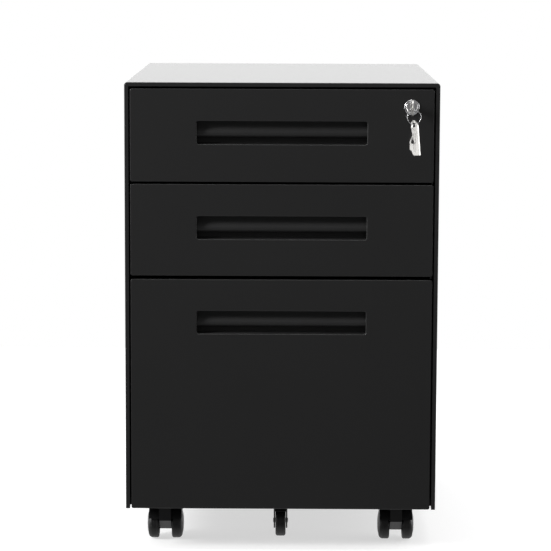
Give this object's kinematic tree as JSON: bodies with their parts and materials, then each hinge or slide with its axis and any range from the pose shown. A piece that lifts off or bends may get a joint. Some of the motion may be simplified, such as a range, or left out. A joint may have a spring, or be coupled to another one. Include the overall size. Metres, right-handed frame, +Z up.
{
  "type": "rolling pedestal cabinet",
  "caption": "Mobile steel drawer pedestal with inset drawer fronts, recessed full-width pulls, a keyed lock, telescopic slides, swivel casters and an anti-tip wheel.",
  "frame": {"origin": "on the floor, at the middle of the whole object's box, the key included", "axes": "+Z up, -Y towards the user: the drawers open along -Y; +X is the right-hand side seen from the front, where the lock is"},
  "size_m": [0.39, 0.528, 0.59],
  "materials": {
    "powder_coat": "semi-matte black powder coat with a fine orange-peel texture",
    "zinc_steel": "bright zinc-plated steel",
    "chrome": "polished chrome plate",
    "key_nickel": "nickel-plated steel with fine handling scratches",
    "caster_nylon": "moulded black nylon, satin",
    "wheel_nylon": "moulded black nylon with a lightly scuffed tread",
    "handle_plastic": "fine-grained moulded black plastic"
  },
  "bodies": {
    "cabinet": {"outer_shell": "powder_coat", "back_panel": "powder_coat", "back_screws": "zinc_steel", "base_pan": "powder_coat", "caster_plates": "powder_coat", "caster_stems": "zinc_steel", "slide_uprights": "powder_coat", "lock_bar_guides": "handle_plastic", "slide_outer_1": "zinc_steel", "slide_outer_2": "zinc_steel", "slide_outer_3": "zinc_steel"},
    "lock_bar": {"lock_bar": "zinc_steel"},
    "lock_cylinder": {"lock_plug": "chrome", "lock_cam": "zinc_steel", "key": "key_nickel"},
    "key_ring": {"key_ring": "chrome"},
    "spare_key": {"spare_key": "key_nickel"},
    "anti_tip_wheel": {"anti_tip_wheel": "wheel_nylon"},
    "drawer_1": {"drawer_1_front": "powder_coat", "drawer_1_liner": "powder_coat", "drawer_1_handle": "handle_plastic", "drawer_1_tray": "powder_coat", "drawer_1_back": "powder_coat", "slide_inner_1": "zinc_steel", "lock_housing": "chrome", "lock_nut": "zinc_steel"},
    "slide_middle_1": {"slide_middle_1": "zinc_steel"},
    "drawer_2": {"drawer_2_front": "powder_coat", "drawer_2_liner": "powder_coat", "drawer_2_handle": "handle_plastic", "drawer_2_tray": "powder_coat", "drawer_2_back": "powder_coat", "slide_inner_2": "zinc_steel"},
    "slide_middle_2": {"slide_middle_2": "zinc_steel"},
    "drawer_3": {"drawer_3_front": "powder_coat", "drawer_3_liner": "powder_coat", "drawer_3_handle": "handle_plastic", "drawer_3_tray": "powder_coat", "drawer_3_back": "powder_coat", "slide_inner_3": "zinc_steel", "file_rails": "zinc_steel", "anti_tip_fork": "powder_coat", "anti_tip_axle": "zinc_steel"},
    "slide_middle_3": {"slide_middle_3": "zinc_steel"},
    "caster_front_left": {"caster_front_left_yoke": "caster_nylon", "caster_front_left_axle": "zinc_steel"},
    "caster_front_left_wheel_left": {"caster_front_left_wheel_left": "wheel_nylon"},
    "caster_front_left_wheel_right": {"caster_front_left_wheel_right": "wheel_nylon"},
    "caster_front_right": {"caster_front_right_yoke": "caster_nylon", "caster_front_right_axle": "zinc_steel"},
    "caster_front_right_wheel_left": {"caster_front_right_wheel_left": "wheel_nylon"},
    "caster_front_right_wheel_right": {"caster_front_right_wheel_right": "wheel_nylon"},
    "caster_rear_left": {"caster_rear_left_yoke": "caster_nylon", "caster_rear_left_axle": "zinc_steel"},
    "caster_rear_left_wheel_left": {"caster_rear_left_wheel_left": "wheel_nylon"},
    "caster_rear_left_wheel_right": {"caster_rear_left_wheel_right": "wheel_nylon"},
    "caster_rear_right": {"caster_rear_right_yoke": "caster_nylon", "caster_rear_right_axle": "zinc_steel"},
    "caster_rear_right_wheel_left": {"caster_rear_right_wheel_left": "wheel_nylon"},
    "caster_rear_right_wheel_right": {"caster_rear_right_wheel_right": "wheel_nylon"}
  },
  "joints": [
    {"name": "drawer_1_slide", "type": "slide", "parent": "cabinet", "child": "drawer_1", "axis": [0, -1, 0], "range_m": [0, 0.4]},
    {"name": "slide_middle_1_slide", "type": "slide", "parent": "cabinet", "child": "slide_middle_1", "axis": [0, -1, 0], "range_m": [0, 0.2]},
    {"name": "drawer_2_slide", "type": "slide", "parent": "cabinet", "child": "drawer_2", "axis": [0, -1, 0], "range_m": [0, 0.4]},
    {"name": "slide_middle_2_slide", "type": "slide", "parent": "cabinet", "child": "slide_middle_2", "axis": [0, -1, 0], "range_m": [0, 0.2]},
    {"name": "drawer_3_slide", "type": "slide", "parent": "cabinet", "child": "drawer_3", "axis": [0, -1, 0], "range_m": [0, 0.4]},
    {"name": "slide_middle_3_slide", "type": "slide", "parent": "cabinet", "child": "slide_middle_3", "axis": [0, -1, 0], "range_m": [0, 0.2]},
    {"name": "lock_turn", "type": "hinge", "parent": "drawer_1", "child": "lock_cylinder", "pos_m": [0.16, -0.236, 0.5604], "axis": [0, 1, 0], "range_deg": [0, 90]},
    {"name": "lock_bar_lift", "type": "slide", "parent": "cabinet", "child": "lock_bar", "axis": [0, 0, 1], "range_m": [0, 0.01]},
    {"name": "key_ring_swing", "type": "hinge", "parent": "lock_cylinder", "child": "key_ring", "pos_m": [0.16, -0.2535, 0.5515], "axis": [0, 1, 0], "range_deg": [-90, 0]},
    {"name": "spare_key_swing", "type": "hinge", "parent": "key_ring", "child": "spare_key", "pos_m": [0.162, -0.2535, 0.541], "axis": [1, 0, 0], "range_deg": [-60, 8]},
    {"name": "anti_tip_wheel_spin", "type": "hinge", "parent": "drawer_3", "child": "anti_tip_wheel", "pos_m": [0, -0.171, 0.023], "axis": [1, 0, 0], "continuous": true},
    {"name": "caster_front_left_swivel", "type": "hinge", "parent": "cabinet", "child": "caster_front_left", "pos_m": [-0.148, -0.187, 0.04], "axis": [0, 0, 1], "continuous": true},
    {"name": "caster_front_left_spin_left", "type": "hinge", "parent": "caster_front_left", "child": "caster_front_left_wheel_left", "pos_m": [-0.148, -0.171, 0.02], "axis": [1, 0, 0], "continuous": true},
    {"name": "caster_front_left_spin_right", "type": "hinge", "parent": "caster_front_left", "child": "caster_front_left_wheel_right", "pos_m": [-0.148, -0.171, 0.02], "axis": [1, 0, 0], "continuous": true},
    {"name": "caster_front_right_swivel", "type": "hinge", "parent": "cabinet", "child": "caster_front_right", "pos_m": [0.148, -0.187, 0.04], "axis": [0, 0, 1], "continuous": true},
    {"name": "caster_front_right_spin_left", "type": "hinge", "parent": "caster_front_right", "child": "caster_front_right_wheel_left", "pos_m": [0.148, -0.171, 0.02], "axis": [1, 0, 0], "continuous": true},
    {"name": "caster_front_right_spin_right", "type": "hinge", "parent": "caster_front_right", "child": "caster_front_right_wheel_right", "pos_m": [0.148, -0.171, 0.02], "axis": [1, 0, 0], "continuous": true},
    {"name": "caster_rear_left_swivel", "type": "hinge", "parent": "cabinet", "child": "caster_rear_left", "pos_m": [-0.148, 0.215, 0.04], "axis": [0, 0, 1], "continuous": true},
    {"name": "caster_rear_left_spin_left", "type": "hinge", "parent": "caster_rear_left", "child": "caster_rear_left_wheel_left", "pos_m": [-0.148, 0.231, 0.02], "axis": [1, 0, 0], "continuous": true},
    {"name": "caster_rear_left_spin_right", "type": "hinge", "parent": "caster_rear_left", "child": "caster_rear_left_wheel_right", "pos_m": [-0.148, 0.231, 0.02], "axis": [1, 0, 0], "continuous": true},
    {"name": "caster_rear_right_swivel", "type": "hinge", "parent": "cabinet", "child": "caster_rear_right", "pos_m": [0.148, 0.215, 0.04], "axis": [0, 0, 1], "continuous": true},
    {"name": "caster_rear_right_spin_left", "type": "hinge", "parent": "caster_rear_right", "child": "caster_rear_right_wheel_left", "pos_m": [0.148, 0.231, 0.02], "axis": [1, 0, 0], "continuous": true},
    {"name": "caster_rear_right_spin_right", "type": "hinge", "parent": "caster_rear_right", "child": "caster_rear_right_wheel_right", "pos_m": [0.148, 0.231, 0.02], "axis": [1, 0, 0], "continuous": true}
  ],
  "couplings": [
    {"joint": "slide_middle_1_slide", "follows": "drawer_1_slide", "ratio": 0.5},
    {"joint": "slide_middle_2_slide", "follows": "drawer_2_slide", "ratio": 0.5},
    {"joint": "slide_middle_3_slide", "follows": "drawer_3_slide", "ratio": 0.5},
    {"joint": "lock_turn", "follows": "lock_bar_lift", "rad_per_m": 157.07},
    {"joint": "key_ring_swing", "follows": "lock_bar_lift", "rad_per_m": -157.07}
  ]
}
